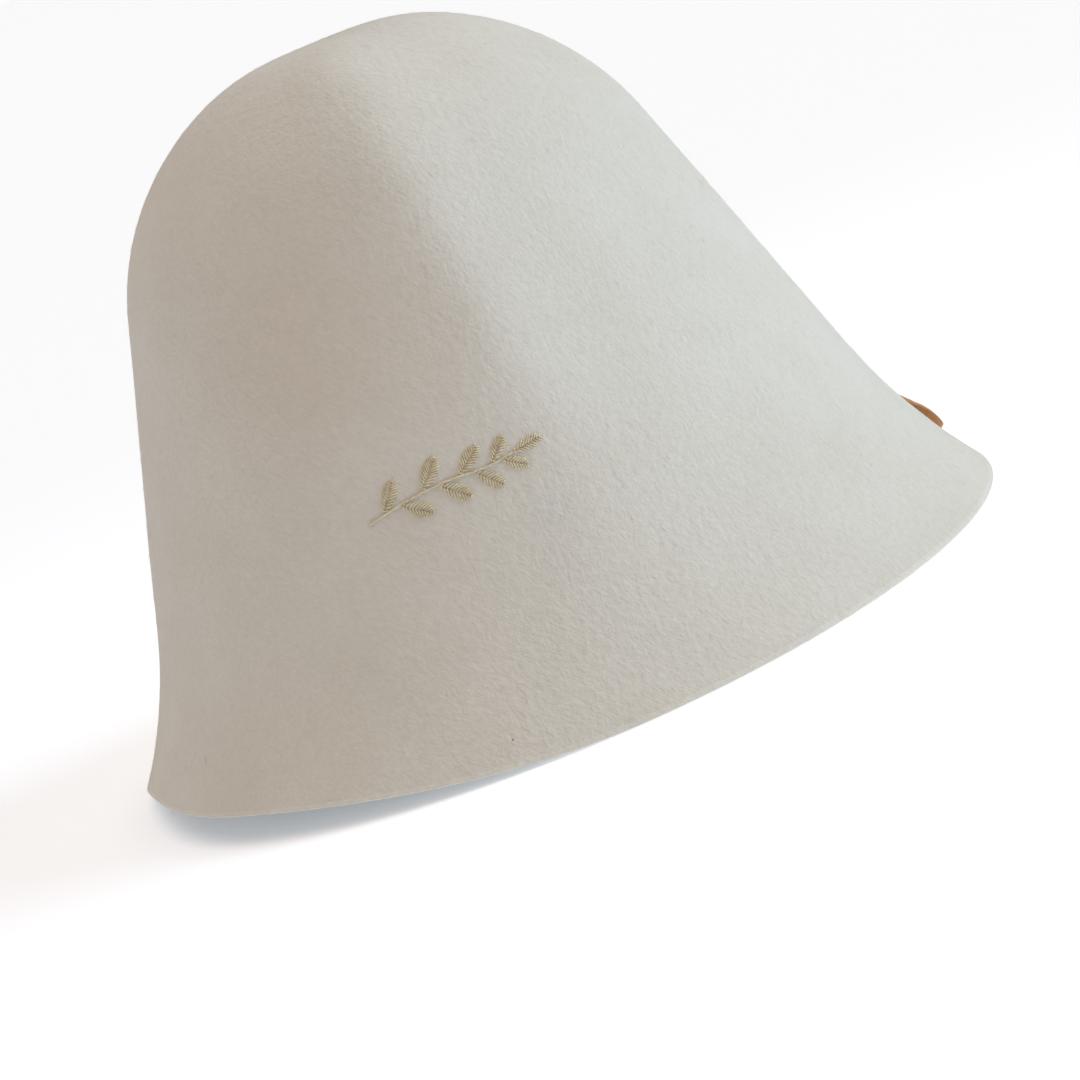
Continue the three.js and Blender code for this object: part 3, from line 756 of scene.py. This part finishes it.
# Where the stitches cross the tails, in mm down the felt from the slit, and how much wider they are
TAIL_STITCHES, TAIL_OVERLAP = (-9.6, -12.2, -14.8), 0.5 * MM
spots, headings, outwards, spans = [], [], [], []
for down in TAIL_STITCHES:
    for side in (LEG[0].side, -LEG[0].side):
        under = beside_felt(down * MM, side * MM, -FELT_THICKNESS)
        spots.append(under)
        headings.append((beside_felt(down * MM, (side + 1) * MM, -FELT_THICKNESS) - under).normalized())
        outwards.append((beside_felt(down * MM, side * MM, -FELT_THICKNESS - MM) - under).normalized())
        spans.append(LACE_WIDTH + TAIL_OVERLAP)
mesh = point_mesh("tail stitches", spots, heading=headings, outwards=outwards, span=spans)
tail_stitches = make_piece("lace_tail_stitches", mesh, stitch_tree, TAIL_STITCH)
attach(tail_stitches, "root")
print("tail stitches:", len(spots))

# %% [markdown]
# ## Loose wool fibres
# However well felt is worked, a few fibres stand loose on it, and they soften its outline and its cut edge.
# A hair system would draw them, but it wouldn't be part of the mesh. Geometry Nodes scatters short, bent,
# three-sided fibres on the felt instead. Wool is 0.03 mm thick, and these are drawn at 0.07 mm to show.

# %% One fibre
FUZZ = {"Density": 72000.0, "Length": 2.1 * MM, "Thickness": 0.07 * MM, "Stand": 0.28 * MM, "Seed": 7,
        "Felt": felt}
ROOT_DEPTH, BEND_SHARE, TIP_ASIDE, TIP_TAPER = 0.05 * MM, 0.45, 0.25, 0.25
FIBRE_POINTS, FIBRE_SIDES = 3, 3
tree, sizes, result = start_tree("loose wool fibres", FUZZ)
tip_aside = add(tree, MATH, [sizes["Length"], TIP_ASIDE], operation="MULTIPLY")
tip = add(tree, "ShaderNodeCombineXYZ", [sizes["Length"], tip_aside, sizes["Stand"]])
bend_at = add(tree, MATH, [sizes["Length"], BEND_SHARE], operation="MULTIPLY")
bend = add(tree, "ShaderNodeCombineXYZ", [bend_at, 0.0, sizes["Stand"]])
fibre = add(tree, "GeometryNodeCurveQuadraticBezier",
            {"Resolution": FIBRE_POINTS, "Start": (0, 0, -ROOT_DEPTH), "Middle": bend, "End": tip})
share = add(tree, "GeometryNodeSplineParameter").outputs["Factor"]
taper = add(tree, MAP_RANGE, {"Value": share, "To Min": 1.0, "To Max": TIP_TAPER})
radius = add(tree, MATH, [sizes["Thickness"], 0.5], operation="MULTIPLY")
ring = add(tree, "GeometryNodeCurvePrimitiveCircle", {"Resolution": FIBRE_SIDES, "Radius": radius})
fibre = add(tree, "GeometryNodeCurveToMesh",
            {"Curve": fibre, "Profile Curve": ring, "Scale": taper, "Fill Caps": True})
print("fibre tree:", len(tree.nodes), "nodes so far")

# %% Scatter the fibres
FIBRE_TILT, SMALLEST, LARGEST, FLOOR_CLEAR, ANYWHERE = 0.35, 0.55, 1.35, 0.02 * MM, -1.0
# The places of a Random Value node's plain numbers among its inputs and outputs
RANDOM_MIN, RANDOM_MAX, RANDOM_NUMBER = 2, 3, 1
outside_only = add(tree, "GeometryNodeInputNamedAttribute", {"Name": "skin"}).outputs["Attribute"]
outside_only = add(tree, "FunctionNodeCompare", [outside_only, INNER_FACE + SKIN_NEAR],
                   operation="GREATER_THAN")
spots = add(tree, "GeometryNodeDistributePointsOnFaces",
            {"Mesh": sizes["Geometry"], "Selection": outside_only,
             "Density": sizes["Density"], "Seed": sizes["Seed"]}).outputs
spin = add(tree, "FunctionNodeRandomValue",
           {"Min": (0, 0, 0), "Max": (FIBRE_TILT, FIBRE_TILT, 2 * math.pi), "Seed": sizes["Seed"]},
           data_type="FLOAT_VECTOR")
spin = add(tree, "FunctionNodeEulerToRotation", [spin])
facing = add(tree, "FunctionNodeRotateRotation", [spots["Rotation"], spin], rotation_space="LOCAL")
size = add(tree, "FunctionNodeRandomValue",
           {RANDOM_MIN: SMALLEST, RANDOM_MAX: LARGEST, "Seed": sizes["Seed"]}).outputs[RANDOM_NUMBER]
fuzz = add(tree, "GeometryNodeInstanceOnPoints",
           {"Points": spots["Points"], "Instance": fibre, "Rotation": facing, "Scale": size})
fuzz = add(tree, "GeometryNodeRealizeInstances", {"Geometry": fuzz})
# No fibre hangs below the rim
lowest = (ANYWHERE, ANYWHERE, FLOOR_CLEAR)
spot = add(tree, "GeometryNodeInputPosition")
spot = add(tree, "ShaderNodeVectorMath", [spot, lowest], operation="MAXIMUM")
fuzz = add(tree, "GeometryNodeSetPosition", {"Geometry": fuzz, "Position": spot})
fuzz = add(tree, "GeometryNodeSetShadeSmooth", {"Geometry": fuzz})
fuzz = add(tree, "GeometryNodeSetMaterial", {"Geometry": fuzz, "Material": sizes["Felt"]})
tree.links.new(fuzz.outputs[0], result.inputs[0])
wool_fibres = make_piece("loose_wool_fibres", felt_bell.data, tree, FUZZ)
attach(wool_fibres, "root")
print("fibres:", len(wool_fibres.data.polygons), "faces")

# %% [markdown]
# ## Floor and light
# The hat stands on a wide white floor that glows a little, as paper does on a light table, so that it stays
# white and lifts the shade under the brim. A warm light overhead does most of the work, a soft cool key
# comes in from the right, so that the fold's right side is bright and its left side falls into shade, and a
# weak rim light behind the left side keeps its outline clear of the shade. The sides of the sky are dark,
# because an even sky would flatten the fold. The camera sees the sky as plain white.

# %% Floor
# Matt white paint that glows: dimmer under the hat, a painted shadow under the brim, brightest just around
# the hat, so that its glow lights the hat's lower wall, and a little dimmer again far away. Distances in
# metres.
FLOOR_REACH, FLOOR_SIDES, FLOOR_LEVEL = 3000.0, 64, -0.1 * MM
PAINTED_SHADOW_TO, OPEN_FROM, PAINTED_SHADOW_SHARE = 0.105, 0.15, 0.5
NEAR_GLOW, FAR_GLOW, FAR_FROM = 0.40, 0.32, 0.9
floor_paint, tree, paint, place = start_material("matt white studio floor")
paint.inputs["Base Color"].default_value = linear("#FAFAF9")
paint.inputs["Roughness"].default_value = 0.9
paint.inputs["Emission Color"].default_value = linear("#E9F3FF")
away = add(tree, "ShaderNodeVectorMath", [place], operation="LENGTH").outputs["Value"]
# Painted shadow: under the brim the floor's glow drops to a share of itself
open_floor = add(tree, MAP_RANGE,
                 {"Value": away, "From Min": PAINTED_SHADOW_TO, "From Max": OPEN_FROM, "To Min": PAINTED_SHADOW_SHARE},
                 interpolation_type="SMOOTHSTEP")
glow = add(tree, MAP_RANGE,
           {"Value": away, "From Min": OPEN_FROM, "From Max": FAR_FROM,
            "To Min": NEAR_GLOW, "To Max": FAR_GLOW},
           interpolation_type="SMOOTHSTEP")
glow = add(tree, MATH, [glow, open_floor], operation="MULTIPLY")
tree.links.new(glow.outputs[0], paint.inputs["Emission Strength"])
angles = [2 * math.pi * i / FLOOR_SIDES for i in range(FLOOR_SIDES)]
corners = [(FLOOR_REACH * math.cos(a), FLOOR_REACH * math.sin(a), FLOOR_LEVEL) for a in angles]
floor_mesh = bpy.data.meshes.new("studio_floor")
floor_mesh.from_pydata(corners, [], [list(range(FLOOR_SIDES))])
floor_mesh.materials.append(floor_paint)
studio_floor = bpy.data.objects.new("studio_floor", floor_mesh)
bpy.context.collection.objects.link(studio_floor)
print("floor:", floor_paint.name)

# %% Sky
# Each stop of the sky: the sine of its height, and its colour, from the horizon to straight overhead
DARK_SIDES = (0.045, 0.03, 0.02, 1)
SKY = [(0.04, (0.40, 0.40, 0.40, 1)), (0.09, DARK_SIDES), (0.70, DARK_SIDES), (1.0, (0.91, 0.785, 0.685, 1))]
SKY_STRENGTH = 2.0
SEEN_WHITE = (1 / SKY_STRENGTH, 1 / SKY_STRENGTH, 1 / SKY_STRENGTH, 1)
world = bpy.data.worlds.new("pale studio")
world.use_nodes = True
bpy.context.scene.world = world
tree = world.node_tree
direction = add(tree, "ShaderNodeTexCoord").outputs["Generated"]
up = add(tree, "ShaderNodeSeparateXYZ", [direction]).outputs["Z"]
sky = add(tree, "ShaderNodeValToRGB", {"Fac": up})
stops = sky.color_ramp.elements
stops.remove(stops[0])
stops[0].position, stops[0].color = SKY[0]
for position, colour in SKY[1:]:
    stops.new(position).color = colour
seen = add(tree, "ShaderNodeLightPath").outputs["Is Camera Ray"]
sky = add(tree, "ShaderNodeMix", {FACTOR: seen, FIRST: sky, SECOND: SEEN_WHITE}, data_type="RGBA")
tree.links.new(sky.outputs[MIXED], tree.nodes["Background"].inputs["Color"])
tree.nodes["Background"].inputs["Strength"].default_value = SKY_STRENGTH
print("light: sky")

# %% Lamps
# Each lamp: azimuth and height of its direction in degrees, strength, and colour
LAMPS = {"soft key": (80, 25, 1.38, (0.75, 1.0, 1.18)), "rim light": (-150, 42, 0.3, (0.8, 1.0, 1.25))}
SOFTNESS = math.radians(35)
for name, (around, rise, strength, tint) in LAMPS.items():
    lamp = bpy.data.lights.new(name, "SUN")
    lamp.energy, lamp.angle, lamp.color = strength, SOFTNESS, tint
    light = bpy.data.objects.new(name, lamp)
    bpy.context.collection.objects.link(light)
    around, rise = math.radians(around), math.radians(rise)
    level = math.cos(rise)
    towards = Vector((level * math.sin(around), -level * math.cos(around), math.sin(rise)))
    light.rotation_euler = towards.to_track_quat("Z", "Y").to_euler()
bpy.context.scene.view_settings.view_transform = "Standard"
print("light:", " and ".join(LAMPS))

# %% [markdown]
# ## Camera
# In the photograph the hat is tilted, and here it stands upright on its rim, so the camera is rolled instead.
# Its place could be found by eye, but the bell's outline is known, so a camera was fitted to it. The shift
# moves the picture without turning the camera.

# %% Camera
DISTANCE, ELEVATION, ROLL = 1.0385, math.radians(12.80), math.radians(-22.74)
FOCAL_LENGTH, SENSOR, SHIFT, SEES_TO = 117.0, 36.0, (-0.0210, 0.0858), 5000.0
back = Vector((0, -math.cos(ELEVATION), math.sin(ELEVATION)))
right, upward = Vector((1, 0, 0)), Vector((0, math.sin(ELEVATION), math.cos(ELEVATION)))
rolled_right = math.cos(ROLL) * right + math.sin(ROLL) * upward
rolled_up = -math.sin(ROLL) * right + math.cos(ROLL) * upward
lens = bpy.data.cameras.new("camera")
lens.lens, lens.sensor_width, lens.clip_end = FOCAL_LENGTH, SENSOR, SEES_TO
lens.shift_x, lens.shift_y = SHIFT
camera = bpy.data.objects.new("camera", lens)
bpy.context.collection.objects.link(camera)
turned = Matrix((rolled_right, rolled_up, back)).transposed()
camera.matrix_world = Matrix.Translation(back * DISTANCE) @ turned.to_4x4()
bpy.context.scene.camera = camera
print("camera:", [round(c, 3) for c in camera.location])

# %% [markdown]
# ## Finish
# The dressed hat has to stay the size of the imported one.

# %% Finish
bpy.context.view_layer.update()
